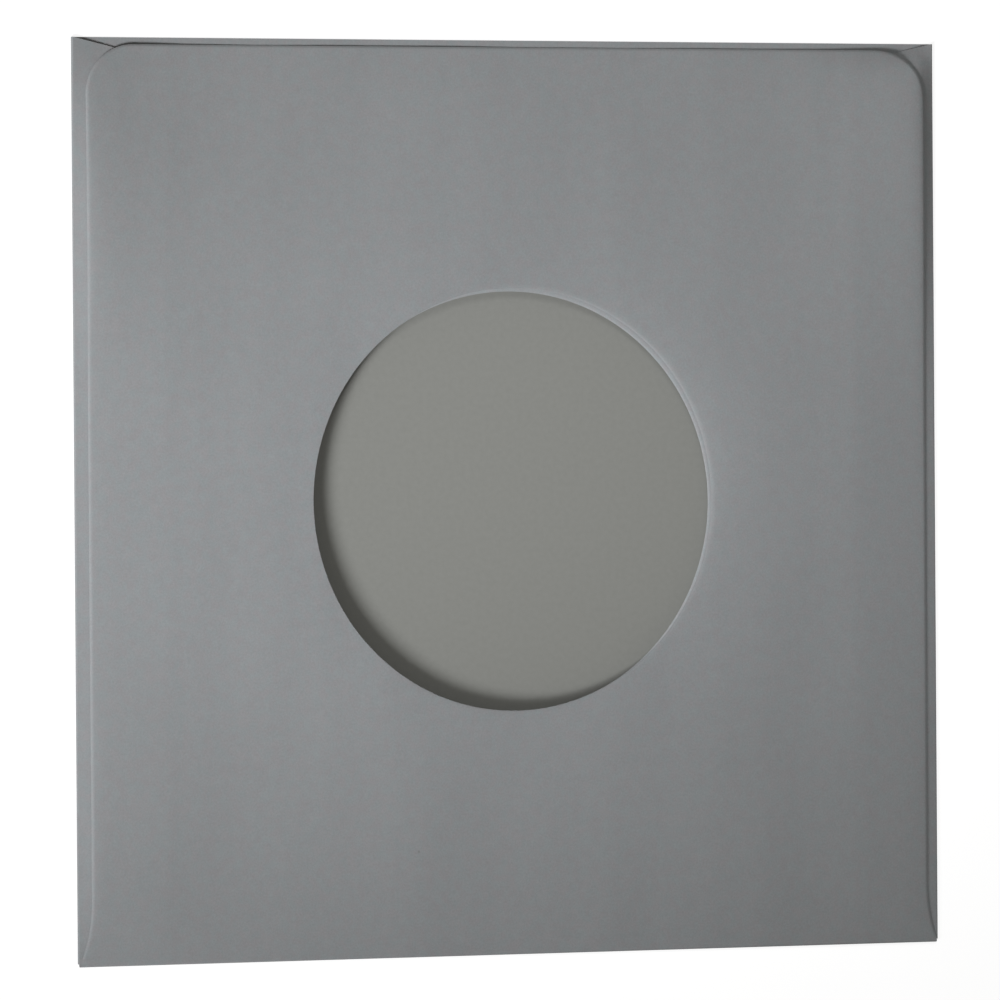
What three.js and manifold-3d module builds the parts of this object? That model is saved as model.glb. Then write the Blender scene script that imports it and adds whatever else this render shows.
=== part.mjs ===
// A paper sleeve for a seven-inch record: one die-cut sheet, folded three times and glued.
// Millimetres. The sleeve lies flat with its front panel up. X runs across it, Y runs up to the
// open mouth, Z is up, and the origin is under its middle, on the surface that it lies on.

import * as THREE from "three";
import { mergeVertices } from "three/addons/utils/BufferGeometryUtils.js";
import Module from "manifold-3d";

const wasm = await Module();
wasm.setup();

// Driving dimensions of the folded sleeve and its sheet.
const SLEEVE_WIDTH = 183; // from side fold to side fold, outside
const SLEEVE_HEIGHT = 184; // from the bottom fold, outside, to the rear panel's top edge
const PAPER = 0.16; // thickness of the sheet
const CREASE_RADIUS = 0.2; // inside radius of the side folds

// The finger and label hole, cut through both panels.
const HOLE_DIAMETER = 85;
const HOLE_OFFSET = -0.5; // centre from the sleeve's middle, towards +X
const FRONT_HOLE_HEIGHT = 91.7; // centre above the bottom fold, on the front panel
const REAR_HOLE_HEIGHT = 91.05; // the same on the rear panel, a little lower

// The front panel's outline.
const FRONT_INSET = 2.65; // its side edges, inside the side folds
const FRONT_TOP_DROP = 1.4; // its top edge, below the rear panel's
const FRONT_CORNER_RADIUS = 10; // its two top corners
const FLARE_HEIGHT = 12; // where its side edges start to curve out to the bottom fold's ends

// The two glue flaps, folded in from the rear panel's sides and covered by the front panel.
const FLAP_WIDTH = 20;
const FLAP_TOP_SLANT = 13.5; // degrees by which a flap's top end falls away from its fold
const FLAP_FOOT_SLANT = 15; // degrees by which its bottom end rises from its fold
const FLAP_FOOT_RELIEF = 0.5; // its bottom end at the fold, above the bottom fold

// The glue line that holds each flap to the front panel's underside.
const GLUE_FILM = 0.06; // thickness
const GLUE_FROM_FOLD = 6; // from the side fold to the line's outer edge
const GLUE_MARGIN = 5; // from the line to the flap's free edge and ends

// How the empty sleeve stands open: what each form adds to the clear height between the panels.
const PANEL_RISE = 1.08; // over the middle of the pocket
const MOUTH_DIP = 1.53; // in the middle of the mouth, where the front panel lies down again
const RIM_LIFT = 1.35; // round the front hole, which stands highest
const RIM_DROOP = 1.1; // at the one side of its rim that hangs down

// How far each of those forms reaches over the front panel.
const SIDE_RISE_REACH = 25; // from a side fold to the full height
const BOTTOM_RISE_REACH = 40; // from the bottom fold to the full height
const MOUTH_DIP_HALF_WIDTH = 130;
const MOUTH_DIP_DEPTH = 40;
const RIM_LIFT_REACH = 30;
const RIM_DROOP_REACH = 7;
const RIM_DROOP_DIRECTION = 5; // degrees round from +X
const RIM_DROOP_SPREAD = 63; // degrees to each side of that

// The flaps' shoulders: each flap springs up beside its fold, a little everywhere and more at a
// few places, which are given by their side, height, distance from the mouth and spread.
const SHOULDER_RISE = 0.25;
const SHOULDER_WIDTH = 3.3; // from the side fold to the top of the shoulder
const SHOULDER_FOOT = 12; // from the bottom fold to the shoulder's full height
const SHOULDER_HEAD = 14; // how far from the mouth the shoulder starts to lie down again
const SHOULDER_SHARPNESS = 6; // how sudden the bend at its top is
const SPRING_REACH = 20; // how far a spring reaches in from its fold
const SPRINGS = [
  { side: 1, height: 1.5, fromMouth: 18, spread: 38 },
  { side: -1, height: 0.7, fromMouth: 36, spread: 24 },
  { side: -1, height: 0.45, fromMouth: 165, spread: 30 },
];

// Steps of the surface grids.
const FOLD_STEPS = 4;
const FLAP_STEPS = 6;
const SIDE_STEPS = 30;
const BOTTOM_STEPS = 16;
const TOP_STEPS = 14;
const CORNER_STEPS = 6;
const FLARE_STEPS = 4;
const FRONT_RINGS = 10;
const REAR_RINGS = 1;
const GLUE_STEPS = 2;

// 0 spaces the steps along a side or the front panel's rings evenly, 1 crowds them at both ends.
const SIDE_CROWDING = 0.4;
const RING_CROWDING = 0.6;

// Middle-surface radii and levels that follow from the sizes above.
const HALF_PAPER = PAPER / 2;
const SIDE_FOLD_RADIUS = CREASE_RADIUS + HALF_PAPER;
const CREASE_GAP = 2 * SIDE_FOLD_RADIUS + GLUE_FILM; // between the panels, along the folds
const BOTTOM_FOLD_RADIUS = (CREASE_GAP + PAPER) / 2;
const SIDE_FOLD_X = SLEEVE_WIDTH / 2 - SIDE_FOLD_RADIUS - HALF_PAPER;
const BOTTOM_Y = -SLEEVE_HEIGHT / 2;
const BOTTOM_FOLD_Y = BOTTOM_Y + BOTTOM_FOLD_RADIUS + HALF_PAPER;
const REAR_TOP_Y = SLEEVE_HEIGHT / 2;
const FRONT_TOP_Y = REAR_TOP_Y - FRONT_TOP_DROP;
const FRONT_EDGE_X = SLEEVE_WIDTH / 2 - FRONT_INSET;
const FLAP_FOOT_Y = BOTTOM_FOLD_Y + FLAP_FOOT_RELIEF;
const HOLE_RADIUS = HOLE_DIAMETER / 2;
const FRONT_HOLE = new THREE.Vector2(HOLE_OFFSET, BOTTOM_Y + FRONT_HOLE_HEIGHT);
const REAR_HOLE = new THREE.Vector2(HOLE_OFFSET, BOTTOM_Y + REAR_HOLE_HEIGHT);

const lerp = THREE.MathUtils.lerp;
const radians = THREE.MathUtils.degToRad;
const DROOP_DIRECTION = new THREE.Vector2(1, 0)
  .rotateAround(new THREE.Vector2(), radians(RIM_DROOP_DIRECTION));

// Climbs from 0 at 0 to 1 at 1 and stays there, level where it arrives.
function rise(t) {
  return t < 1 ? t * (2 - t) : 1;
}

// Falls from 1 at distance 0, on both sides.
function bell(distance, reach) {
  return Math.exp(-((distance / reach) ** 2));
}

// What the flaps' shoulders add to the clear height.
function shoulderAt(x, y) {
  const climb = (SIDE_FOLD_X - Math.abs(x)) / SHOULDER_WIDTH;
  const profile = climb / (1 + climb ** SHOULDER_SHARPNESS) ** (1 / SHOULDER_SHARPNESS);
  const foot = rise((y - BOTTOM_FOLD_Y) / SHOULDER_FOOT);
  const head = 1 - bell(REAR_TOP_Y - y, SHOULDER_HEAD);
  const heights = SPRINGS.map(({ side, height, fromMouth, spread }) => height *
    bell(REAR_TOP_Y - y - fromMouth, spread) * bell(SIDE_FOLD_X - side * x, SPRING_REACH));
  return foot * head * profile * heights.reduce((total, height) => total + height, SHOULDER_RISE);
}

// The clear height between the two panels at a point of the front panel.
function gapAt(x, y) {
  const edge = rise((SIDE_FOLD_X - Math.abs(x)) / SIDE_RISE_REACH) *
    rise((y - BOTTOM_FOLD_Y) / BOTTOM_RISE_REACH);
  const dip = MOUTH_DIP * Math.exp(-((x / MOUTH_DIP_HALF_WIDTH) ** 4)) *
    bell(REAR_TOP_Y - y, MOUTH_DIP_DEPTH);
  const fromCentre = new THREE.Vector2(x, y).sub(FRONT_HOLE);
  const fromRim = fromCentre.length() - HOLE_RADIUS;
  const lift = RIM_LIFT * bell(fromRim, RIM_LIFT_REACH);
  const turn = fromCentre.angleTo(DROOP_DIRECTION);
  const droop = RIM_DROOP * bell(turn, radians(RIM_DROOP_SPREAD)) *
    Math.exp(-fromRim / RIM_DROOP_REACH);
  return CREASE_GAP + shoulderAt(x, y) + edge * (PANEL_RISE - dip + lift - droop);
}

// Middle-surface points of the three layers.
function rearPoint(x, y) {
  return new THREE.Vector3(x, y, HALF_PAPER);
}
function frontPoint(x, y) {
  return new THREE.Vector3(x, y, PAPER + gapAt(x, y) + HALF_PAPER);
}
function flapPoint(x, y) {
  return new THREE.Vector3(x, y, PAPER + gapAt(x, y) - GLUE_FILM - HALF_PAPER);
}

// Distance across a fold's half turn, and height above the rear panel, at a share of the turn.
function halfTurn(radius, share) {
  const angle = Math.PI * share;
  return { out: radius * Math.sin(angle), up: radius * (1 - Math.cos(angle)) };
}

// A flap's two ends at a distance from its fold.
function flapTopY(fromFold) {
  return REAR_TOP_Y - fromFold * Math.tan(radians(FLAP_TOP_SLANT));
}
function flapFootY(fromFold) {
  return FLAP_FOOT_Y + fromFold * Math.tan(radians(FLAP_FOOT_SLANT));
}

// Adds a grid of four-cornered facets to a sheet. A flipped patch shows its other side.
function addPatch(sheet, columns, rows, pointAt, flipped) {
  for (let column = 0; column < columns; column += 1) {
    for (let row = 0; row < rows; row += 1) {
      const facet = [
        pointAt(column, row),
        pointAt(column + 1, row),
        pointAt(column + 1, row + 1),
        pointAt(column, row + 1),
      ];
      sheet.push(flipped ? facet.reverse() : facet);
    }
  }
}

// Where a step lies between 0 and 1, when the steps crowd at both ends.
function crowded(step, steps, crowding) {
  const even = step / steps;
  return even - crowding * Math.sin(2 * Math.PI * even) / (2 * Math.PI);
}
function sideShare(step) {
  return crowded(step, SIDE_STEPS, SIDE_CROWDING);
}

// Turns a list of runs of points into one closed ring. Each run ends where the next one starts.
function ringOf(runs) {
  return runs.flatMap((points) => points.slice(0, -1));
}

function line(x0, y0, x1, y1, steps) {
  return new THREE.LineCurve(new THREE.Vector2(x0, y0), new THREE.Vector2(x1, y1)).getPoints(steps);
}

function side(x, lower, upper) {
  return Array.from({ length: SIDE_STEPS + 1 }, (_, step) =>
    new THREE.Vector2(x, lerp(lower, upper, sideShare(step))));
}

function arc(x, y, radius, from, to, clockwise, steps) {
  return new THREE.EllipseCurve(x, y, radius, radius, from, to, clockwise).getPoints(steps);
}

// Both outlines run anticlockwise from the bottom fold's left end.
function rearOutline() {
  const x = SIDE_FOLD_X;
  return ringOf([
    line(-x, BOTTOM_FOLD_Y, x, BOTTOM_FOLD_Y, BOTTOM_STEPS),
    line(x, BOTTOM_FOLD_Y, x, FLAP_FOOT_Y, 1),
    side(x, FLAP_FOOT_Y, REAR_TOP_Y),
    line(x, REAR_TOP_Y, -x, REAR_TOP_Y, TOP_STEPS),
    side(-x, FLAP_FOOT_Y, REAR_TOP_Y).reverse(),
    line(-x, FLAP_FOOT_Y, -x, BOTTOM_FOLD_Y, 1),
  ]);
}

function frontOutline() {
  const x = FRONT_EDGE_X;
  const cornerX = x - FRONT_CORNER_RADIUS;
  const cornerY = FRONT_TOP_Y - FRONT_CORNER_RADIUS;
  const flareY = BOTTOM_FOLD_Y + FLARE_HEIGHT;
  const flareRun = SIDE_FOLD_X - x;
  const flareRadius = (flareRun ** 2 + FLARE_HEIGHT ** 2) / (2 * flareRun);
  const flareAngle = Math.asin(FLARE_HEIGHT / flareRadius);
  const quarter = Math.PI / 2;
  return ringOf([
    line(-SIDE_FOLD_X, BOTTOM_FOLD_Y, SIDE_FOLD_X, BOTTOM_FOLD_Y, BOTTOM_STEPS),
    arc(x + flareRadius, flareY, flareRadius, Math.PI + flareAngle, Math.PI, true, FLARE_STEPS),
    side(x, flareY, cornerY),
    arc(cornerX, cornerY, FRONT_CORNER_RADIUS, 0, quarter, false, CORNER_STEPS),
    line(cornerX, FRONT_TOP_Y, -cornerX, FRONT_TOP_Y, TOP_STEPS),
    arc(-cornerX, cornerY, FRONT_CORNER_RADIUS, quarter, Math.PI, false, CORNER_STEPS),
    side(-x, flareY, cornerY).reverse(),
    arc(-x - flareRadius, flareY, flareRadius, 0, -flareAngle, true, FLARE_STEPS),
  ]);
}

// A panel with a round hole: rings of facets from the hole's edge out to the outline.
function addPanel(sheet, outline, hole, rings, crowding, pointOf, flipped) {
  const rim = outline.map((point) =>
    point.clone().sub(hole).setLength(HOLE_RADIUS).add(hole));
  const pointAt = (ring, step) => {
    const i = step % outline.length;
    const point = rim[i].clone().lerp(outline[i], crowded(ring, rings, crowding));
    return pointOf(point.x, point.y);
  };
  addPatch(sheet, rings, outline.length, pointAt, flipped);
}

// One side fold and its flap, from the rear panel's edge to the flap's free edge.
function addFlap(sheet, hand) {
  const pointAt = (column, row) => {
    const along = sideShare(row);
    if (column < FOLD_STEPS) {
      const { out, up } = halfTurn(SIDE_FOLD_RADIUS, column / FOLD_STEPS);
      const y = lerp(FLAP_FOOT_Y, REAR_TOP_Y, along);
      return new THREE.Vector3(hand * (SIDE_FOLD_X + out), y, HALF_PAPER + up);
    }
    const fromFold = FLAP_WIDTH * ((column - FOLD_STEPS) / FLAP_STEPS) ** 2;
    const y = lerp(flapFootY(fromFold), flapTopY(fromFold), along);
    return flapPoint(hand * (SIDE_FOLD_X - fromFold), y);
  };
  addPatch(sheet, FOLD_STEPS + FLAP_STEPS, SIDE_STEPS, pointAt, hand < 0);
}

// The half turn that carries the front panel up from the rear panel's bottom edge.
function addBottomFold(sheet) {
  const pointAt = (column, row) => {
    const { out, up } = halfTurn(BOTTOM_FOLD_RADIUS, column / FOLD_STEPS);
    const x = lerp(-SIDE_FOLD_X, SIDE_FOLD_X, row / BOTTOM_STEPS);
    return new THREE.Vector3(x, BOTTOM_FOLD_Y - out, HALF_PAPER + up);
  };
  addPatch(sheet, FOLD_STEPS, BOTTOM_STEPS, pointAt, false);
}

// The whole folded blank. Its facets all show the side that faces into the pocket.
function foldedBlank() {
  const sheet = [];
  addPanel(sheet, rearOutline(), REAR_HOLE, REAR_RINGS, 0, rearPoint, false);
  addFlap(sheet, 1);
  addFlap(sheet, -1);
  addBottomFold(sheet);
  addPanel(sheet, frontOutline(), FRONT_HOLE, FRONT_RINGS, RING_CROWDING, frontPoint, true);
  return sheet;
}

// The glue between a flap and the front panel, from the middle of one layer to the other's.
function glueLine(hand) {
  const sheet = [];
  const pointAt = (column, row) => {
    const fromFold = lerp(GLUE_FROM_FOLD, FLAP_WIDTH - GLUE_MARGIN, column / GLUE_STEPS);
    const foot = flapFootY(fromFold) + GLUE_MARGIN;
    const top = flapTopY(fromFold) - GLUE_MARGIN;
    const x = hand * (SIDE_FOLD_X - fromFold);
    const y = lerp(foot, top, sideShare(row));
    return flapPoint(x, y).lerp(frontPoint(x, y), 0.5);
  };
  addPatch(sheet, GLUE_STEPS, SIDE_STEPS, pointAt, hand < 0);
  return sheet;
}

// Gives a sheet of facets its thickness, half to each side, and closes its edges with walls.
function thicken(sheet, thickness) {
  const corners = [];
  const numbers = new Map();
  const numberOf = (point) => {
    const key = point.toArray().map((value) => Math.round(value * 1e4)).join();
    if (!numbers.has(key)) {
      numbers.set(key, corners.length);
      corners.push({ point, normal: new THREE.Vector3() });
    }
    return numbers.get(key);
  };
  const facets = sheet.map((facet) => facet.map(numberOf));
  const edges = new Set();
  for (const [a, b, c, d] of facets) {
    const [p, q, r, s] = [a, b, c, d].map((number) => corners[number].point);
    const normal = r.clone().sub(p).cross(s.clone().sub(q));
    for (const [from, to] of [[a, b], [b, c], [c, d], [d, a]]) {
      corners[from].normal.add(normal);
      edges.add(`${from},${to}`);
    }
  }
  const far = corners.length;
  const place = (distance) => corners.flatMap(({ point, normal }) =>
    point.clone().addScaledVector(normal.clone().normalize(), distance).toArray());
  const triangles = [];
  const addQuad = (a, b, c, d) => triangles.push(a, b, c, a, c, d);
  for (const [a, b, c, d] of facets) {
    addQuad(a, b, c, d);
    addQuad(far + d, far + c, far + b, far + a);
    for (const [from, to] of [[a, b], [b, c], [c, d], [d, a]]) {
      if (!edges.has(`${to},${from}`)) {
        addQuad(far + from, far + to, to, from);
      }
    }
  }
  const geometry = new THREE.BufferGeometry();
  const places = [...place(thickness / 2), ...place(-thickness / 2)];
  geometry.setAttribute("position", new THREE.Float32BufferAttribute(places, 3));
  geometry.setIndex(triangles);
  return geometry;
}

function solidOf(geometry) {
  const merged = mergeVertices(geometry);
  return new wasm.Manifold(new wasm.Mesh({
    numProp: 3,
    vertProperties: merged.attributes.position.array,
    triVerts: new Uint32Array(merged.index.array),
  }));
}

function geometryOf(solid) {
  const mesh = solid.getMesh();
  const geometry = new THREE.BufferGeometry();
  geometry.setAttribute("position", new THREE.BufferAttribute(mesh.vertProperties, 3));
  geometry.setIndex(new THREE.BufferAttribute(mesh.triVerts, 1));
  geometry.computeVertexNormals();
  return geometry;
}

// The sleeve: the folded sheet with both of its flaps glued down.
function sleeve() {
  let solid = solidOf(thicken(foldedBlank(), PAPER));
  for (const hand of [1, -1]) {
    solid = solid.add(solidOf(thicken(glueLine(hand), PAPER + GLUE_FILM)));
  }
  const paper = new THREE.MeshStandardMaterial({ color: 0x8f9496, roughness: 0.9, metalness: 0 });
  const mesh = new THREE.Mesh(geometryOf(solid), paper);
  mesh.name = "sleeve";
  return mesh;
}

const recordSleeve = new THREE.Group();
recordSleeve.add(sleeve());

export default recordSleeve;
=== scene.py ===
"""A seven-inch record's paper sleeve, lying empty on a pale table. Metres, in the part's own frame."""
import math

import bpy
import numpy as np
from mathutils import Matrix, Vector


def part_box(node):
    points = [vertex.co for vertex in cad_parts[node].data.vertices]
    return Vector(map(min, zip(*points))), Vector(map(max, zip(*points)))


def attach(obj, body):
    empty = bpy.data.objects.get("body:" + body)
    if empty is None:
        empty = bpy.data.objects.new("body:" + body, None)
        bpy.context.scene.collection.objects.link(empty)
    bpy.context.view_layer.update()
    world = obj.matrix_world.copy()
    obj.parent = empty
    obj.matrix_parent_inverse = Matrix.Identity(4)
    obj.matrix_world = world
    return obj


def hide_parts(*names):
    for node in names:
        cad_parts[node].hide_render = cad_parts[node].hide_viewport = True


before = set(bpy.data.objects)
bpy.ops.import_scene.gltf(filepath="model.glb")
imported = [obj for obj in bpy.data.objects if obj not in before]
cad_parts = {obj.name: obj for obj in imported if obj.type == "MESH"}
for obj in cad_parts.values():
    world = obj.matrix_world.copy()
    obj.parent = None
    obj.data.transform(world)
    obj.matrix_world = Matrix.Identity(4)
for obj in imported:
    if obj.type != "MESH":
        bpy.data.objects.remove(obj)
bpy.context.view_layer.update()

MM = 0.001
LOWEST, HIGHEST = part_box("sleeve")

# The folded sheet, as the solid has it, but with the flaps' feet nearer to the bottom fold.
PAPER = 0.16 * MM
CREASE_RADIUS = 0.2 * MM
GLUE_FILM = 0.06 * MM
HOLE_RADIUS = 42.5 * MM
HOLE_OFFSET = -0.5 * MM
FRONT_HOLE_HEIGHT = 91.7 * MM
REAR_HOLE_HEIGHT = 91.05 * MM
FRONT_INSET = 2.65 * MM
FRONT_TOP_DROP = 1.4 * MM
FRONT_CORNER_RADIUS = 10 * MM
FLARE_HEIGHT = 12 * MM
FLAP_WIDTH = 20 * MM
FLAP_TOP_SLANT = math.radians(13.5)
FLAP_FOOT_SLANT = math.radians(15)
FLAP_FOOT_RELIEF = 0.15 * MM
GLUE_FROM_FOLD = 6 * MM
GLUE_MARGIN = 5 * MM

HALF_PAPER = PAPER / 2
SIDE_FOLD_RADIUS = CREASE_RADIUS + HALF_PAPER
CREASE_GAP = 2 * SIDE_FOLD_RADIUS + GLUE_FILM
BOTTOM_FOLD_RADIUS = (CREASE_GAP + PAPER) / 2
SIDE_FOLD_X = HIGHEST.x - SIDE_FOLD_RADIUS - HALF_PAPER
BOTTOM_FOLD_Y = LOWEST.y + BOTTOM_FOLD_RADIUS + HALF_PAPER
REAR_TOP_Y = HIGHEST.y
FRONT_TOP_Y = REAR_TOP_Y - FRONT_TOP_DROP
FRONT_EDGE_X = HIGHEST.x - FRONT_INSET
FLAP_FOOT_Y = BOTTOM_FOLD_Y + FLAP_FOOT_RELIEF
FRONT_HOLE = np.array((HOLE_OFFSET, LOWEST.y + FRONT_HOLE_HEIGHT))
REAR_HOLE = np.array((HOLE_OFFSET, LOWEST.y + REAR_HOLE_HEIGHT))
FLARE_Y = BOTTOM_FOLD_Y + FLARE_HEIGHT
FLARE_RUN = SIDE_FOLD_X - FRONT_EDGE_X
FLARE_RADIUS = (FLARE_RUN ** 2 + FLARE_HEIGHT ** 2) / (2 * FLARE_RUN)

# How the empty sleeve stands open: what each form adds to the clear height between the panels.
PANEL_RISE = 1.08 * MM
SIDE_RISE_REACH = 25 * MM
BOTTOM_RISE_REACH = 40 * MM
MOUTH_DIP = 1.53 * MM
MOUTH_DIP_HALF_WIDTH = 130 * MM
MOUTH_DIP_DEPTH = 40 * MM
MOUTH_DIP_SHARPNESS = 4
RIM_LIFT = 1.35 * MM
RIM_LIFT_REACH = 30 * MM
RIM_DROOP = 1.1 * MM
RIM_DROOP_REACH = 7 * MM
RIM_DROOP_DIRECTION = math.radians(5)
RIM_DROOP_SPREAD = math.radians(63)

# The flaps' shoulders: each flap springs up beside its fold, a little everywhere and more at a
# few places, which are given by side, height, distance from the mouth and spread. Both die out
# at the mouth, over the distances called heads.
SHOULDER_RISE = 0.25 * MM
SHOULDER_WIDTH = 3.3 * MM
SHOULDER_FOOT = 12 * MM
SHOULDER_HEAD = 14 * MM
SHOULDER_SHARPNESS = 6
SPRING_REACH = 20 * MM
SPRING_HEAD = 3 * MM
SPRINGS = (
    (1, 1.5 * MM, 18 * MM, 38 * MM),
    (-1, 0.7 * MM, 36 * MM, 24 * MM),
    (-1, 0.45 * MM, 165 * MM, 30 * MM),
)

# Fine forms of the paper. Its cut edges are rolled down, most at the left side and at the one side
# of the hole's rim, and its margins stand a little clear of the flaps.
EDGE_ROLL = 0.14 * MM
EDGE_ROLL_REACH = 0.2 * MM
LEFT_ROLL = 0.11 * MM
LEFT_ROLL_REACH = 0.26 * MM
LEFT_ROLL_INSET = 5 * MM
LEFT_ROLL_BLEND = 2 * MM
ROLL_FOOT = 2 * MM
RIM_ROLL = 0.3 * MM
RIM_ROLL_REACH = 0.28 * MM
MARGIN_RISE = 0.13 * MM
MARGIN_REACH = 8 * MM
# The rear panel stands off the table behind the same side of its own rim.
REAR_RIM_RISE = 0.55 * MM
REAR_RIM_ROLL = 0.9 * MM
REAR_RIM_REACH = 14 * MM
RIM_DIRECTION = math.radians(-2)
RIM_SPREAD = math.radians(82)
# The mouth's edge lies closer than the solid's, and the right flap's end lies on the rear panel.
MOUTH_PRESS = 0.2 * MM
MOUTH_PRESS_REACH = 7 * MM
MOUTH_PRESS_SIDE = 8 * MM
FLAP_END_LEVEL = 1.7 * PAPER
FLAP_END_REACH = 1.2 * MM
# The front panel steps up over each flap's free edge.
FLAP_STEP = 0.15 * MM
FLAP_STEP_WIDTH = 2 * MM
# The sheet's slack: height, wave length, heading and phase of each wave, the last two in radians.
WAVES = (
    (0.05 * MM, 61 * MM, 0.35, 0.4),
    (0.04 * MM, 37 * MM, 1.2, 2.1),
    (0.03 * MM, 23 * MM, -0.5, 4.0),
)

# Steps of the surface grids. The rings lie closer together in a band along both cut edges.
FOLD_STEPS = 12
FLAP_STEPS = 16
SIDE_STEPS = 110
BOTTOM_STEPS = 100
TOP_STEPS = 92
CORNER_STEPS = 14
FLARE_STEPS = 10
FOOT_STEPS = 2
EDGE_RINGS = 7
EDGE_BAND = 1.6 * MM
FRONT_RINGS = 42
REAR_RINGS = 18
GLUE_STEPS = 4
WELD_DISTANCE = 0.0001 * MM
SHARP_ANGLE = math.radians(40)


def rise(t):
    """Climbs from 0 at 0 to 1 at 1 and stays there, level where it arrives."""
    t = np.clip(t, 0, 1)
    return t * (2 - t)


def bell(distance, reach):
    """1 at no distance, falling smoothly towards 0 past the reach."""
    return np.exp(-((distance / reach) ** 2))


def shoulder_at(x, y):
    """What the flaps' shoulders add to the clear height."""
    climb = np.maximum(SIDE_FOLD_X - np.abs(x), 0) / SHOULDER_WIDTH
    profile = climb / (1 + climb ** SHOULDER_SHARPNESS) ** (1 / SHOULDER_SHARPNESS)
    height = SHOULDER_RISE * (1 - bell(REAR_TOP_Y - y, SHOULDER_HEAD))
    for side, spring, from_mouth, spread in SPRINGS:
        near = bell(REAR_TOP_Y - y - from_mouth, spread) * bell(SIDE_FOLD_X - side * x, SPRING_REACH)
        height = height + spring * near * (1 - bell(REAR_TOP_Y - y, SPRING_HEAD))
    return rise((y - BOTTOM_FOLD_Y) / SHOULDER_FOOT) * profile * height


def gap_at(x, y):
    """The clear height between the two panels at points of the front panel."""
    edge = rise((SIDE_FOLD_X - np.abs(x)) / SIDE_RISE_REACH) * rise((y - BOTTOM_FOLD_Y) / BOTTOM_RISE_REACH)
    across = np.exp(-((x / MOUTH_DIP_HALF_WIDTH) ** MOUTH_DIP_SHARPNESS))
    dip = MOUTH_DIP * across * bell(REAR_TOP_Y - y, MOUTH_DIP_DEPTH)
    out_x = x - FRONT_HOLE[0]
    out_y = y - FRONT_HOLE[1]
    from_rim = np.hypot(out_x, out_y) - HOLE_RADIUS
    lift = RIM_LIFT * bell(from_rim, RIM_LIFT_REACH)
    turn = np.angle(np.exp(1j * (np.arctan2(out_y, out_x) - RIM_DROOP_DIRECTION)))
    droop = RIM_DROOP * bell(turn, RIM_DROOP_SPREAD) * np.exp(-from_rim / RIM_DROOP_REACH)
    side = rise((SIDE_FOLD_X - np.abs(x)) / MOUTH_PRESS_SIDE)
    press = MOUTH_PRESS * side * bell(REAR_TOP_Y - y, MOUTH_PRESS_REACH)
    return CREASE_GAP + shoulder_at(x, y) + edge * (PANEL_RISE - dip + lift - droop) - press


def from_outer_edge(x, y):
    """Distance of points of the front panel from its outer cut edge."""
    over_x = np.abs(x) - (FRONT_EDGE_X - FRONT_CORNER_RADIUS)
    over_y = y - (FRONT_TOP_Y - FRONT_CORNER_RADIUS)
    past = np.hypot(np.maximum(over_x, 0), np.maximum(over_y, 0))
    from_sides = FRONT_CORNER_RADIUS - past - np.minimum(np.maximum(over_x, over_y), 0)
    from_flare = np.hypot(FRONT_EDGE_X + FLARE_RADIUS - np.abs(x), FLARE_Y - y) - FLARE_RADIUS
    return np.maximum(np.where(y < FLARE_Y, from_flare, from_sides), 0)


def from_hole(x, y, hole):
    """Distance of points from a hole's rim, and how near they are to the rim's rolled side."""
    out_x = x - hole[0]
    out_y = y - hole[1]
    turn = np.angle(np.exp(1j * (np.arctan2(out_y, out_x) - RIM_DIRECTION)))
    return np.maximum(np.hypot(out_x, out_y) - HOLE_RADIUS, 0), bell(turn, RIM_SPREAD)


def waves_at(x, y):
    """The slack of the sheet: long shallow waves that die out at the folds."""
    total = 0
    for height, length, heading, phase in WAVES:
        along = x * math.cos(heading) + y * math.sin(heading)
        total = total + height * np.sin(2 * math.pi * along / length + phase)
    edge = rise((SIDE_FOLD_X - np.abs(x)) / SIDE_RISE_REACH)
    return total * edge * rise((y - BOTTOM_FOLD_Y) / BOTTOM_RISE_REACH)


def panel_details(x, y):
    """Fine heights of the front panel: its slack, its rolled edges and the flaps' edges under it."""
    from_flap = SIDE_FOLD_X - FLAP_WIDTH - np.abs(x)
    over_flap = 0.5 - 0.5 * np.tanh(from_flap / FLAP_STEP_WIDTH)
    from_edge = from_outer_edge(x, y)
    leftness = 0.5 - 0.5 * np.tanh((x + FRONT_EDGE_X - LEFT_ROLL_INSET) / LEFT_ROLL_BLEND)
    roll = EDGE_ROLL * bell(from_edge, EDGE_ROLL_REACH)
    roll = roll + leftness * LEFT_ROLL * bell(from_edge, LEFT_ROLL_REACH)
    margin = MARGIN_RISE * bell(from_edge, MARGIN_REACH)
    from_rim, nearness = from_hole(x, y, FRONT_HOLE)
    rim_roll = RIM_ROLL * nearness * np.exp(-from_rim / RIM_ROLL_REACH)
    foot = rise((y - BOTTOM_FOLD_Y) / SHOULDER_FOOT)
    roll_foot = rise((y - BOTTOM_FOLD_Y) / ROLL_FOOT)
    return waves_at(x, y) + foot * FLAP_STEP * over_flap + roll_foot * (margin - roll) - rim_roll


def rear_rim_at(x, y):
    """How far the rear panel stands off the table behind one side of its hole's cut edge."""
    from_rim, nearness = from_hole(x, y, REAR_HOLE)
    profile = (1 - np.exp(-from_rim / REAR_RIM_ROLL)) * bell(from_rim, REAR_RIM_REACH)
    return REAR_RIM_RISE * nearness * profile


# Middle-surface points of the layers, from arrays of x and y.
def rear_points(x, y):
    return np.stack((x, y, HALF_PAPER + rear_rim_at(x, y)), -1)


def front_points(x, y):
    return np.stack((x, y, PAPER + gap_at(x, y) + HALF_PAPER + panel_details(x, y)), -1)


def flap_points(x, y):
    return np.stack((x, y, PAPER + gap_at(x, y) - GLUE_FILM - HALF_PAPER + waves_at(x, y)), -1)


def half_turn(radius, share):
    """Distance across a fold's half turn, and height above the rear panel, at shares of the turn."""
    angle = math.pi * share
    return radius * np.sin(angle), radius * (1 - np.cos(angle))


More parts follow.
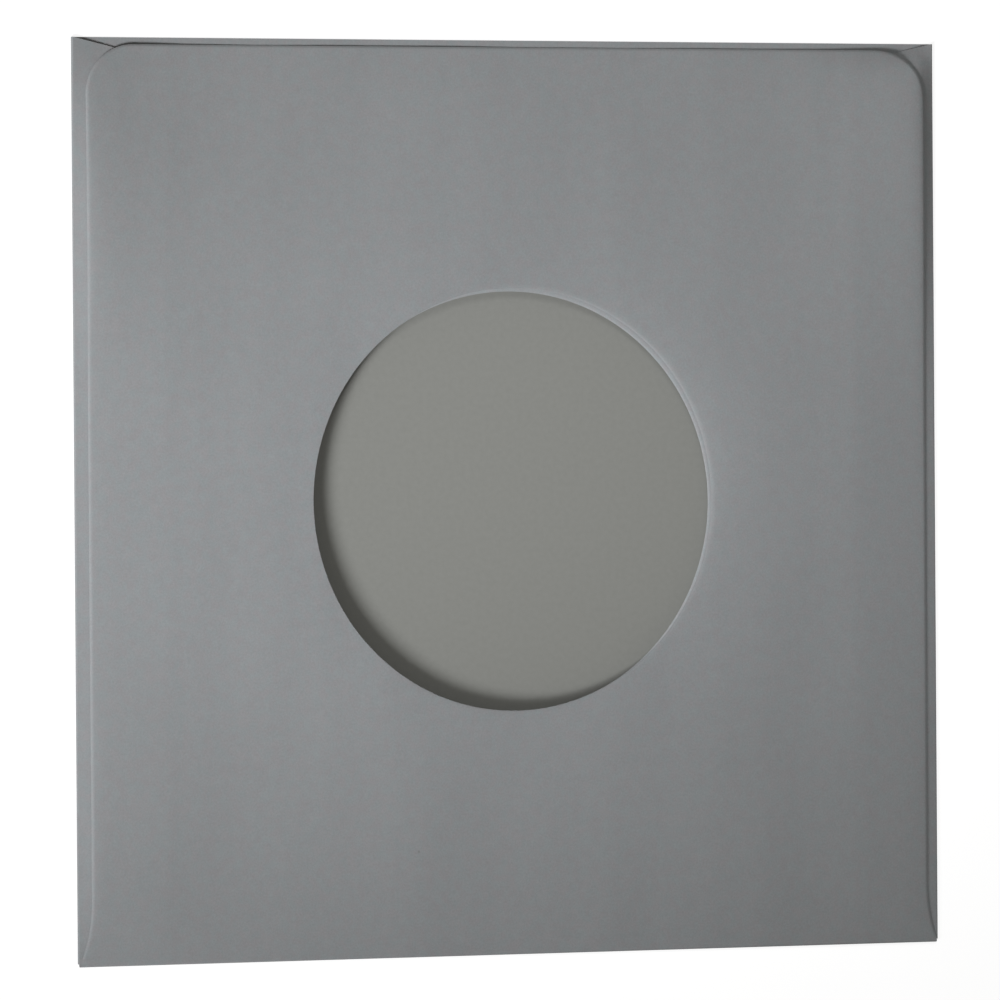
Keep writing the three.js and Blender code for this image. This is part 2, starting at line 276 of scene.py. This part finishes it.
def flap_top(from_fold):
    return REAR_TOP_Y - from_fold * math.tan(FLAP_TOP_SLANT)


def flap_foot(from_fold):
    return FLAP_FOOT_Y + from_fold * math.tan(FLAP_FOOT_SLANT)


def straight(x0, y0, x1, y1, steps):
    share = np.arange(steps)[:, None] / steps
    return np.array((x0, y0)) * (1 - share) + np.array((x1, y1)) * share


def arc(x, y, radius, start, end, steps):
    angle = start + (end - start) * np.arange(steps) / steps
    return np.stack((x + radius * np.cos(angle), y + radius * np.sin(angle)), -1)


def rear_outline():
    """Anticlockwise from the bottom fold's left end, as the front panel's is."""
    x = SIDE_FOLD_X
    return np.concatenate((
        straight(-x, BOTTOM_FOLD_Y, x, BOTTOM_FOLD_Y, BOTTOM_STEPS),
        straight(x, BOTTOM_FOLD_Y, x, FLAP_FOOT_Y, FOOT_STEPS),
        straight(x, FLAP_FOOT_Y, x, REAR_TOP_Y, SIDE_STEPS),
        straight(x, REAR_TOP_Y, -x, REAR_TOP_Y, TOP_STEPS),
        straight(-x, REAR_TOP_Y, -x, FLAP_FOOT_Y, SIDE_STEPS),
        straight(-x, FLAP_FOOT_Y, -x, BOTTOM_FOLD_Y, FOOT_STEPS),
    ))


def front_outline():
    x = FRONT_EDGE_X
    corner_x = x - FRONT_CORNER_RADIUS
    corner_y = FRONT_TOP_Y - FRONT_CORNER_RADIUS
    flare_angle = math.asin(FLARE_HEIGHT / FLARE_RADIUS)
    quarter = math.pi / 2
    return np.concatenate((
        straight(-SIDE_FOLD_X, BOTTOM_FOLD_Y, SIDE_FOLD_X, BOTTOM_FOLD_Y, BOTTOM_STEPS),
        arc(x + FLARE_RADIUS, FLARE_Y, FLARE_RADIUS, math.pi + flare_angle, math.pi, FLARE_STEPS),
        straight(x, FLARE_Y, x, corner_y, SIDE_STEPS),
        arc(corner_x, corner_y, FRONT_CORNER_RADIUS, 0, quarter, CORNER_STEPS),
        straight(corner_x, FRONT_TOP_Y, -corner_x, FRONT_TOP_Y, TOP_STEPS),
        arc(-corner_x, corner_y, FRONT_CORNER_RADIUS, quarter, math.pi, CORNER_STEPS),
        straight(-x, corner_y, -x, FLARE_Y, SIDE_STEPS),
        arc(-x - FLARE_RADIUS, FLARE_Y, FLARE_RADIUS, 0, -flare_angle, FLARE_STEPS),
    ))


def patch(points, flipped=False):
    """Facets of a grid of points, as an array of their four corners. A flipped patch shows its back."""
    facets = np.stack((points[:-1, :-1], points[1:, :-1], points[1:, 1:], points[:-1, 1:]), 2)
    facets = facets.reshape(-1, 4, 3)
    return facets[:, ::-1] if flipped else facets


def ring_shares(length, rings):
    """Where the rings lie between a hole and the outline: closer together at both cut edges."""
    crowded = EDGE_BAND * (np.arange(EDGE_RINGS) / EDGE_RINGS) ** 2
    inner = crowded[:, None] / length
    middle = np.linspace(0, 1, rings + 1)[:, None]
    band = EDGE_BAND / length
    return np.concatenate((inner, band + (1 - 2 * band) * middle, 1 - inner[::-1]))


def panel(outline, hole, rings, points_of, flipped=False):
    """A panel with a round hole, in rings from the hole's edge out to the outline."""
    outward = outline - hole
    reach = np.linalg.norm(outward, axis=1)
    rim = hole + outward * (HOLE_RADIUS / reach)[:, None]
    share = ring_shares(reach - HOLE_RADIUS, rings)[..., None]
    points = rim * (1 - share) + outline * share
    points = np.concatenate((points, points[:, :1]), 1)
    return patch(points_of(points[..., 0], points[..., 1]), flipped)


def flap(side):
    """One side fold and its flap, from the rear panel's edge to the flap's free edge."""
    along = np.linspace(0, 1, SIDE_STEPS + 1)
    out, up = half_turn(SIDE_FOLD_RADIUS, np.arange(FOLD_STEPS)[:, None] / FOLD_STEPS)
    level = np.ones_like(along)
    y = FLAP_FOOT_Y + (REAR_TOP_Y - FLAP_FOOT_Y) * along + 0 * out
    fold = np.stack((side * (SIDE_FOLD_X + out) * level, y, (HALF_PAPER + up) * level), -1)
    from_fold = FLAP_WIDTH * (np.arange(FLAP_STEPS + 1)[:, None] / FLAP_STEPS) ** 2
    y = flap_foot(from_fold) * (1 - along) + flap_top(from_fold) * along
    leaf = flap_points(side * (SIDE_FOLD_X - from_fold) * level, y)
    if side > 0:
        held = bell(flap_top(from_fold) - y, FLAP_END_REACH) * rise(from_fold / MOUTH_PRESS_SIDE)
        leaf[..., 2] += held * np.minimum(FLAP_END_LEVEL - leaf[..., 2], 0)
    return patch(np.concatenate((fold, leaf)), side < 0)


def bottom_fold():
    """The half turn that carries the front panel up from the rear panel's bottom edge."""
    out, up = half_turn(BOTTOM_FOLD_RADIUS, np.arange(FOLD_STEPS + 1)[:, None] / FOLD_STEPS)
    x = np.linspace(-SIDE_FOLD_X, SIDE_FOLD_X, BOTTOM_STEPS + 1)
    level = np.ones_like(x)
    points = (x + 0 * out, (BOTTOM_FOLD_Y - out) * level, (HALF_PAPER + up) * level)
    return patch(np.stack(points, -1))


def glue_line(side):
    """The film between a flap and the front panel, on its middle surface."""
    from_fold = np.linspace(GLUE_FROM_FOLD, FLAP_WIDTH - GLUE_MARGIN, GLUE_STEPS + 1)[:, None]
    along = np.linspace(0, 1, SIDE_STEPS + 1)
    foot = flap_foot(from_fold) + GLUE_MARGIN
    top = flap_top(from_fold) - GLUE_MARGIN
    y = foot * (1 - along) + top * along
    x = side * (SIDE_FOLD_X - from_fold) + 0 * along
    return patch((flap_points(x, y) + front_points(x, y)) / 2, side < 0)


def thicken(facets, thickness):
    """Points and faces of a closed sheet, half its thickness to each side of the given facets."""
    corners = facets.reshape(-1, 3)
    keys = np.round(corners / WELD_DISTANCE).astype(np.int64)
    _, first, number = np.unique(keys, axis=0, return_index=True, return_inverse=True)
    points = corners[first]
    faces = number.reshape(-1, 4)
    diagonals = points[faces[:, 2]] - points[faces[:, 0]], points[faces[:, 3]] - points[faces[:, 1]]
    face_normals = np.cross(*diagonals)
    normals = np.zeros_like(points)
    for corner in faces.T:
        np.add.at(normals, corner, face_normals)
    normals /= np.linalg.norm(normals, axis=1)[:, None]
    count = len(points)
    edges = np.concatenate([faces[:, (i, (i + 1) % 4)] for i in range(4)])
    met = np.isin(edges[:, 0] * count + edges[:, 1], edges[:, 1] * count + edges[:, 0])
    start, end = edges[~met].T
    walls = np.stack((count + start, count + end, end, start), 1)
    both = np.concatenate((points + normals * thickness / 2, points - normals * thickness / 2))
    return both, np.concatenate((faces, count + faces[:, ::-1], walls))


def mesh_object(name, parts, material):
    """One object from several sets of points and faces."""
    points = np.concatenate([part[0] for part in parts])
    offsets = np.cumsum([0] + [len(part[0]) for part in parts[:-1]])
    faces = np.concatenate([part[1] + offset for part, offset in zip(parts, offsets)])
    mesh = bpy.data.meshes.new(name)
    mesh.from_pydata(points.tolist(), [], faces.tolist())
    mesh.shade_smooth()
    mesh.set_sharp_from_angle(angle=SHARP_ANGLE)
    mesh.materials.append(material)
    obj = bpy.data.objects.new(name, mesh)
    bpy.context.scene.collection.objects.link(obj)
    return obj


def sleeve_paper(material):
    """The whole folded blank with its two glue lines."""
    blank = np.concatenate((
        panel(rear_outline(), REAR_HOLE, REAR_RINGS, rear_points),
        flap(1),
        flap(-1),
        bottom_fold(),
        panel(front_outline(), FRONT_HOLE, FRONT_RINGS, front_points, flipped=True),
    ))
    parts = [thicken(blank, PAPER)]
    parts += [thicken(glue_line(side), PAPER + GLUE_FILM) for side in (1, -1)]
    return mesh_object("sleeve_paper", parts, material)


def linear(red, green, blue):
    """An sRGB colour, 0 to 255, as a linear one."""
    def channel(value):
        value /= 255
        return value / 12.92 if value <= 0.04045 else ((value + 0.055) / 1.055) ** 2.4
    return channel(red), channel(green), channel(blue), 1


class Nodes:
    """Short calls for a material's node tree."""

    def __init__(self, name):
        self.material = bpy.data.materials.new(name)
        self.material.use_nodes = True
        self.tree = self.material.node_tree
        self.tree.nodes.clear()
        self.output = self.add("ShaderNodeOutputMaterial")

    def add(self, kind, inputs=None, **settings):
        node = self.tree.nodes.new(kind)
        for key, value in settings.items():
            setattr(node, key, value)
        for key, value in (inputs or {}).items():
            if isinstance(value, bpy.types.NodeSocket):
                self.tree.links.new(value, node.inputs[key])
            else:
                node.inputs[key].default_value = value
        return node

    def stretched(self, per_metre):
        """Object coordinates, scaled to features per metre along each axis."""
        place = self.add("ShaderNodeTexCoord").outputs["Object"]
        scaled = self.add("ShaderNodeVectorMath", {0: place, 1: per_metre}, operation="MULTIPLY")
        return scaled.outputs[0]

    def noise(self, per_metre, detail=2.0, roughness=0.5):
        vector = self.stretched(per_metre)
        values = {"Vector": vector, "Scale": 1.0, "Detail": detail, "Roughness": roughness}
        return self.add("ShaderNodeTexNoise", values).outputs["Fac"]

    def span(self, value, low, high, to_low, to_high):
        """A value mapped from one range to another, and kept inside it."""
        values = {0: value, 1: low, 2: high, 3: to_low, 4: to_high}
        return self.add("ShaderNodeMapRange", values, clamp=True).outputs[0]

    def math(self, operation, a, b):
        return self.add("ShaderNodeMath", {0: a, 1: b}, operation=operation).outputs[0]


PAPER_COOL = linear(142, 147, 149)
PAPER_WARM = linear(145, 145, 147)
PAPER_ROUGHNESS = 0.9
PAPER_SPECULAR = 0.25
# Patterns of the paper: features per metre along each axis, and the shades that they span. The
# noise patterns use the middle of their range.
NOISE_RANGE = (0.3, 0.7)
CLOUD_SCALE = (450, 420, 450)
CLOUD_SHADES = (0.975, 1.02)
MOTTLE_SCALE = (2900, 2600, 2900)
MOTTLE_SHADES = (0.93, 1.07)
STREAK_SCALE = (85, 6, 85)
STREAK_SHADES = (0.975, 1.02)
BLOTCH_SCALE = (620, 560, 620)
BLOTCH_RANGE = (0.35, 0.65)
# Specks: one cell in forty has a dark dot, which fades between two radii, in cells.
SPECK_SCALE = (190, 190, 190)
SPECK_SHARE = 1 / 40
SPECK_RADII = (0.02, 0.06)
SPECK_DARKNESS = 0.25
# Relief of the paper's surface.
FIBRE_SCALE = (5200, 3400, 5200)
FELT_SCALE = (1150, 900, 1150)
FELT_WEIGHT = 2.0
RELIEF_STRENGTH = 0.35
RELIEF_HEIGHT = 0.02 * MM
# Painted light: the inner face is painted lighter beside the hole, where it is lit more than the flat
# panel: how much lighter, how far out and below what height.
PAINTED_RIM_LIGHTNESS = 1.38
INNER_REACH = 9 * MM
INNER_HEIGHT = 1.4 * MM


def specks(nodes):
    """Shade of a few dark dots, each in a cell of its own."""
    place = nodes.stretched(SPECK_SCALE)
    cells = nodes.add("ShaderNodeTexVoronoi", {"Vector": place, "Scale": 1.0, "Randomness": 1.0}).outputs
    draw = nodes.add("ShaderNodeSeparateColor", {0: cells["Color"]}).outputs[0]
    chosen = nodes.math("GREATER_THAN", draw, 1 - SPECK_SHARE)
    dot = nodes.span(cells["Distance"], *SPECK_RADII, SPECK_DARKNESS, 0)
    return nodes.math("SUBTRACT", 1.0, nodes.math("MULTIPLY", dot, chosen))


def painted_rim_light(nodes):
    """Painted light: the rear panel's upper face is painted lighter beside the hole, where the light falls
    on it more.
    """
    coordinates = nodes.add("ShaderNodeTexCoord").outputs
    place = coordinates["Object"]
    height = nodes.add("ShaderNodeSeparateXYZ", {0: place}).outputs[2]
    upward = nodes.add("ShaderNodeSeparateXYZ", {0: coordinates["Normal"]}).outputs[2]
    from_centre = nodes.add("ShaderNodeVectorMath", {0: place, 1: (*REAR_HOLE, 0)}, operation="DISTANCE")
    distance = from_centre.outputs["Value"]
    painted_light = nodes.span(distance, HOLE_RADIUS, HOLE_RADIUS + INNER_REACH, PAINTED_RIM_LIGHTNESS, 1)
    low = nodes.math("LESS_THAN", height, INNER_HEIGHT)
    inner = nodes.math("MULTIPLY", low, nodes.math("GREATER_THAN", upward, 0.0))
    return nodes.add("ShaderNodeMix", {"Factor": inner, "A": 1.0, "B": painted_light}).outputs[0]


def paper_material():
    """Uncoated paper: cloudy formation, faint streaks along the machine's run, fibres and specks, and
    painted light on the rear panel's face beside the hole.
    """
    nodes = Nodes("uncoated paper")
    shade = nodes.span(nodes.noise(CLOUD_SCALE, 3), *NOISE_RANGE, *CLOUD_SHADES)
    mottle = nodes.span(nodes.noise(MOTTLE_SCALE, 3, 0.7), *NOISE_RANGE, *MOTTLE_SHADES)
    streaks = nodes.span(nodes.noise(STREAK_SCALE, 1), *NOISE_RANGE, *STREAK_SHADES)
    # The last layer is painted light: the rear panel's face is painted lighter beside the hole.
    for layer in (mottle, streaks, specks(nodes), painted_rim_light(nodes)):
        shade = nodes.math("MULTIPLY", shade, layer)
    blotch = nodes.span(nodes.noise(BLOTCH_SCALE, 2), *BLOTCH_RANGE, 0, 1)
    pulp = nodes.add("ShaderNodeMix", {0: blotch, 6: PAPER_COOL, 7: PAPER_WARM}, data_type="RGBA")
    colour = nodes.add("ShaderNodeVectorMath", {0: pulp.outputs[2], "Scale": shade}, operation="SCALE")
    fibres = nodes.noise(FIBRE_SCALE, 3, 0.65)
    felt = nodes.noise(FELT_SCALE, 2)
    relief = nodes.math("ADD", nodes.math("MULTIPLY", felt, FELT_WEIGHT), fibres)
    bump = nodes.add("ShaderNodeBump", {
        "Strength": RELIEF_STRENGTH,
        "Distance": RELIEF_HEIGHT,
        "Height": relief,
    })
    shader = nodes.add("ShaderNodeBsdfPrincipled", {
        "Base Color": colour.outputs[0],
        "Roughness": PAPER_ROUGHNESS,
        "Specular IOR Level": PAPER_SPECULAR,
        "Normal": bump.outputs[0],
    })
    nodes.tree.links.new(shader.outputs[0], nodes.output.inputs["Surface"])
    return nodes.material


TABLE_COLOUR = linear(141, 142, 138)
TABLE_HALF_WIDTH = 75 * MM
TABLE_GRAIN_SCALE = (900, 900, 900)
TABLE_GRAIN_SHADES = (0.975, 1.02)
# The pale floor: its own light and its shade as the camera sees it, and its grey in the bounced light.
FLOOR_GLOW = 0.86
FLOOR_SHADE = 0.25
FLOOR_GREY = 0.6
FLOOR_HALF_WIDTH = 3.0
FLOOR_DROP = 0.05 * MM


def floor_material():
    """A pale floor that the camera sees as white with soft shadows, and a grey table under the sleeve."""
    nodes = Nodes("pale floor")
    place = nodes.add("ShaderNodeTexCoord").outputs["Object"]
    axes = nodes.add("ShaderNodeSeparateXYZ", {0: place}).outputs
    across = nodes.math("ABSOLUTE", axes[0], 0.0)
    along = nodes.math("ABSOLUTE", axes[1], 0.0)
    under = nodes.math("LESS_THAN", nodes.math("MAXIMUM", across, along), TABLE_HALF_WIDTH)
    grain = nodes.span(nodes.noise(TABLE_GRAIN_SCALE, 3), *NOISE_RANGE, *TABLE_GRAIN_SHADES)
    colour = nodes.add("ShaderNodeVectorMath", {0: TABLE_COLOUR[:3], "Scale": grain}, operation="SCALE")
    table = nodes.add("ShaderNodeBsdfDiffuse", {"Color": colour.outputs[0]})
    shaded = nodes.add("ShaderNodeBsdfDiffuse", {"Color": (FLOOR_SHADE,) * 3 + (1,)})
    glow = nodes.add("ShaderNodeEmission", {"Strength": FLOOR_GLOW})
    seen = nodes.add("ShaderNodeAddShader", {0: shaded.outputs[0], 1: glow.outputs[0]})
    pale = nodes.add("ShaderNodeBsdfDiffuse", {"Color": (FLOOR_GREY,) * 3 + (1,)})
    is_camera = nodes.add("ShaderNodeLightPath").outputs["Is Camera Ray"]
    floor = nodes.add("ShaderNodeMixShader", {0: is_camera, 1: pale.outputs[0], 2: seen.outputs[0]})
    both = nodes.add("ShaderNodeMixShader", {0: under, 1: floor.outputs[0], 2: table.outputs[0]})
    nodes.tree.links.new(both.outputs[0], nodes.output.inputs["Surface"])
    return nodes.material


def add_floor():
    half = FLOOR_HALF_WIDTH
    corners = [(-half, -half), (half, -half), (half, half), (-half, half)]
    mesh = bpy.data.meshes.new("floor")
    mesh.from_pydata([(x, y, -FLOOR_DROP) for x, y in corners], [], [(0, 1, 2, 3)])
    mesh.materials.append(floor_material())
    floor = bpy.data.objects.new("floor", mesh)
    bpy.context.scene.collection.objects.link(floor)


AMBIENT = 0.14
AMBIENT_COLOUR = (1.05, 1.0, 0.9, 1)
LAMP_COLOUR = (0.995, 1.0, 1.015)
LAMP_SIZE = 0.22
LAMP_SPREAD = math.radians(40)
# Each lamp's direction from the sleeve, round from +X and up from the table, in degrees, its
# distance, the point of the sleeve that it is aimed at, and its power in watts.
LAMPS = {
    "key": {"around": 209, "above": 33.5, "distance": 0.67, "aim": (-40 * MM, 62 * MM), "power": 0.356},
    "fill": {"around": 84, "above": 60, "distance": 0.5, "aim": (82 * MM, -46 * MM), "power": 0.0585},
}


def add_lamp(name, around, above, distance, aim, power):
    lamp = bpy.data.lights.new(name, "AREA")
    lamp.shape = "SQUARE"
    lamp.size = LAMP_SIZE
    lamp.spread = LAMP_SPREAD
    lamp.energy = power
    lamp.color = LAMP_COLOUR
    turn = math.radians(around)
    climb = math.radians(above)
    flat = distance * math.cos(climb)
    place = Vector((flat * math.cos(turn), flat * math.sin(turn), distance * math.sin(climb)))
    obj = bpy.data.objects.new(name, lamp)
    obj.location = place
    obj.rotation_euler = (Vector((*aim, 0)) - place).to_track_quat("-Z", "Y").to_euler()
    bpy.context.scene.collection.objects.link(obj)


def add_room():
    """An even low light from all round, which the camera sees as white."""
    world = bpy.data.worlds.new("room")
    world.use_nodes = True
    tree = world.node_tree
    tree.nodes.clear()
    path = tree.nodes.new("ShaderNodeLightPath")
    level = tree.nodes.new("ShaderNodeMapRange")
    level.inputs["To Min"].default_value = AMBIENT
    tint = tree.nodes.new("ShaderNodeMix")
    tint.data_type = "RGBA"
    tint.inputs[6].default_value = AMBIENT_COLOUR
    tint.inputs[7].default_value = (1, 1, 1, 1)
    background = tree.nodes.new("ShaderNodeBackground")
    output = tree.nodes.new("ShaderNodeOutputWorld")
    tree.links.new(path.outputs["Is Camera Ray"], level.inputs["Value"])
    tree.links.new(level.outputs[0], background.inputs["Strength"])
    tree.links.new(path.outputs["Is Camera Ray"], tint.inputs[0])
    tree.links.new(tint.outputs[2], background.inputs["Color"])
    tree.links.new(background.outputs[0], output.inputs["Surface"])
    bpy.context.scene.world = world


# The photograph's camera: its turn about its own axes, the sleeve's place before it, and its lens
# and sensor in millimetres.
CAMERA_TURN = [math.radians(angle) for angle in (0.667, 18.76, 0.398)]
CAMERA_DISTANCE = 1600 * MM
CAMERA_SHIFT = (2.4 * MM, 0.46 * MM)
CAMERA_LENS = 286.0
CAMERA_SENSOR = 36
CAMERA_CLIP = (0.01, 20)


def add_camera():
    tilt_x, tilt_y, roll = CAMERA_TURN
    turn = Matrix.Rotation(roll, 4, "Z") @ Matrix.Rotation(tilt_x, 4, "X") @ Matrix.Rotation(tilt_y, 4, "Y")
    offset = Matrix.Translation((*CAMERA_SHIFT, -CAMERA_DISTANCE))
    data = bpy.data.cameras.new("camera")
    data.lens = CAMERA_LENS
    data.sensor_width = CAMERA_SENSOR
    data.clip_start, data.clip_end = CAMERA_CLIP
    camera = bpy.data.objects.new("camera", data)
    camera.matrix_world = (offset @ turn).inverted()
    bpy.context.scene.collection.objects.link(camera)
    bpy.context.scene.camera = camera


bpy.context.scene.view_settings.view_transform = "Standard"
paper = sleeve_paper(paper_material())
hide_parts("sleeve")
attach(paper, "root")
add_floor()
for lamp_name, settings in LAMPS.items():
    add_lamp(lamp_name, **settings)
add_room()
add_camera()
